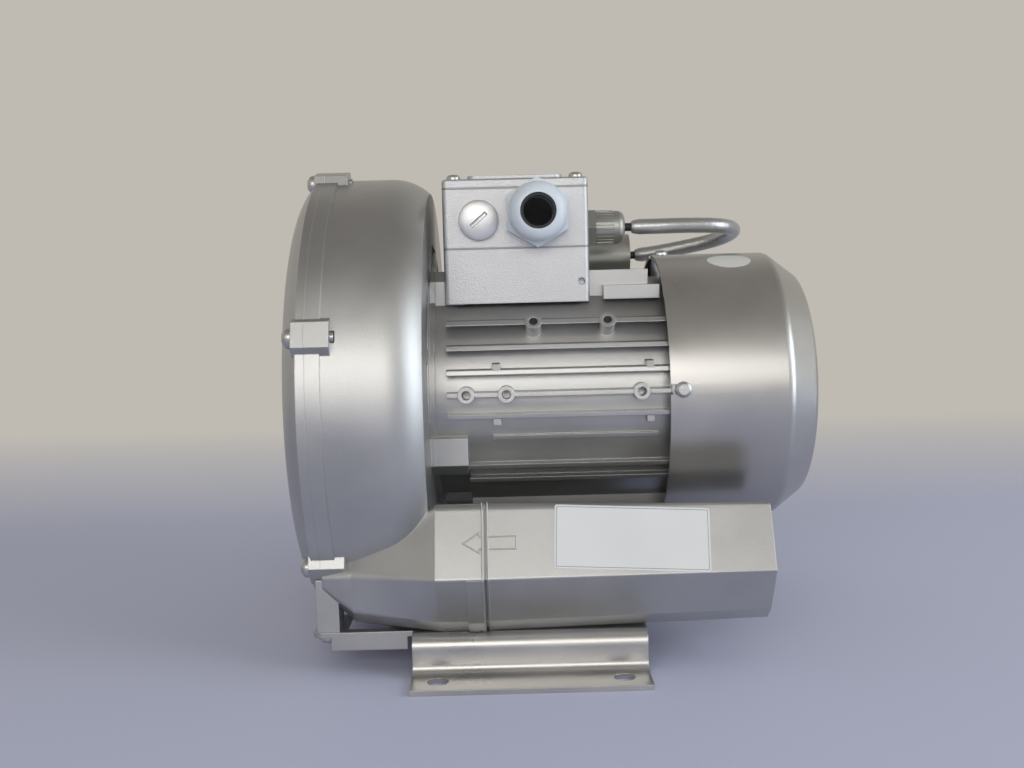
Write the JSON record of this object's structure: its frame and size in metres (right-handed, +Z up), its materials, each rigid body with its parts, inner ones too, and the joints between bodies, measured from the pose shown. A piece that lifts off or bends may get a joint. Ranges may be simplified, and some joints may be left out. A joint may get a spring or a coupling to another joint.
{
  "type": "side channel blower",
  "caption": "Side channel blower with built-on finned motor, terminal box with run capacitor, twin silencer ports at the rear and a pressed steel foot plate.",
  "frame": {"origin": "centre of the four foot holes, on the base plane", "axes": "+X along the shaft from the side channel cover to the fan cowl, -Y the inlet side with the large cable gland, +Z up"},
  "size_m": [0.2475, 0.226, 0.2338],
  "materials": {
    "silver_paint": "satin metallic enamel",
    "silver_casting": "satin metallic enamel on a casting",
    "cast_aluminium": "as cast",
    "machined_steel": "ground",
    "zinc_steel": "zinc plated",
    "lamination_steel": "varnished",
    "enamelled_copper": "varnished",
    "black_plastic": "moulded",
    "grey_plastic": "moulded",
    "black_rubber": "moulded",
    "foam": "open cell",
    "silver_sleeve": "coated braid",
    "black_cable": "extruded"
  },
  "bodies": {
    "housing": {"base_plate": "silver_paint", "base_screws": "zinc_steel", "blanking_plug": "silver_paint", "blower_casing": "silver_casting", "cable_gland_body": "grey_plastic", "cable_gland_nut": "grey_plastic", "cable_gland_seal": "black_rubber", "capacitor": "black_plastic", "capacitor_clamp": "silver_paint", "capacitor_gland_body": "silver_paint", "capacitor_gland_nut": "silver_paint", "capacitor_gland_seal": "black_rubber", "capacitor_lead": "black_cable", "clamp_screw": "zinc_steel", "cover_screws": "zinc_steel", "cowl_screws": "zinc_steel", "fan_cowl": "silver_paint", "front_bearing_outer_ring": "machined_steel", "front_end_shield": "cast_aluminium", "inlet_silencer": "silver_casting", "inlet_silencer_liner": "foam", "lead_sleeve": "silver_sleeve", "lid_gasket": "black_rubber", "lid_screws": "zinc_steel", "motor_bolts": "zinc_steel", "motor_frame": "silver_casting", "outlet_silencer": "silver_casting", "outlet_silencer_liner": "foam", "preload_washer": "machined_steel", "rear_bearing_outer_ring": "machined_steel", "rear_end_shield": "cast_aluminium", "shaft_seal": "black_rubber", "side_channel_cover": "silver_casting", "silencer_seals": "black_rubber", "stator_core": "lamination_steel", "stator_windings": "enamelled_copper", "terminal_block": "black_plastic", "terminal_box_base": "silver_casting", "terminal_box_body": "silver_casting", "terminal_box_gasket": "black_rubber", "terminal_box_lid": "silver_casting", "terminal_studs": "enamelled_copper"},
    "rotor": {"motor_shaft": "machined_steel", "rotor_core": "lamination_steel", "impeller": "cast_aluminium", "impeller_key": "machined_steel", "impeller_washer": "zinc_steel", "impeller_screw": "zinc_steel", "cooling_fan": "black_plastic", "front_bearing_inner_ring": "machined_steel", "rear_bearing_inner_ring": "machined_steel"},
    "front_ball_set": {"front_bearing_balls": "machined_steel"},
    "rear_ball_set": {"rear_bearing_balls": "machined_steel"}
  },
  "joints": [
    {"name": "rotor_spin", "type": "hinge", "parent": "housing", "child": "rotor", "pos_m": [0, 0, 0.1214], "axis": [1, 0, 0], "continuous": true},
    {"name": "front_ball_set_spin", "type": "hinge", "parent": "housing", "child": "front_ball_set", "pos_m": [0, 0, 0.1214], "axis": [1, 0, 0], "continuous": true},
    {"name": "rear_ball_set_spin", "type": "hinge", "parent": "housing", "child": "rear_ball_set", "pos_m": [0, 0, 0.1214], "axis": [1, 0, 0], "continuous": true}
  ],
  "couplings": [
    {"joint": "front_ball_set_spin", "follows": "rotor_spin", "ratio": 0.3951},
    {"joint": "rear_ball_set_spin", "follows": "rotor_spin", "ratio": 0.396}
  ]
}
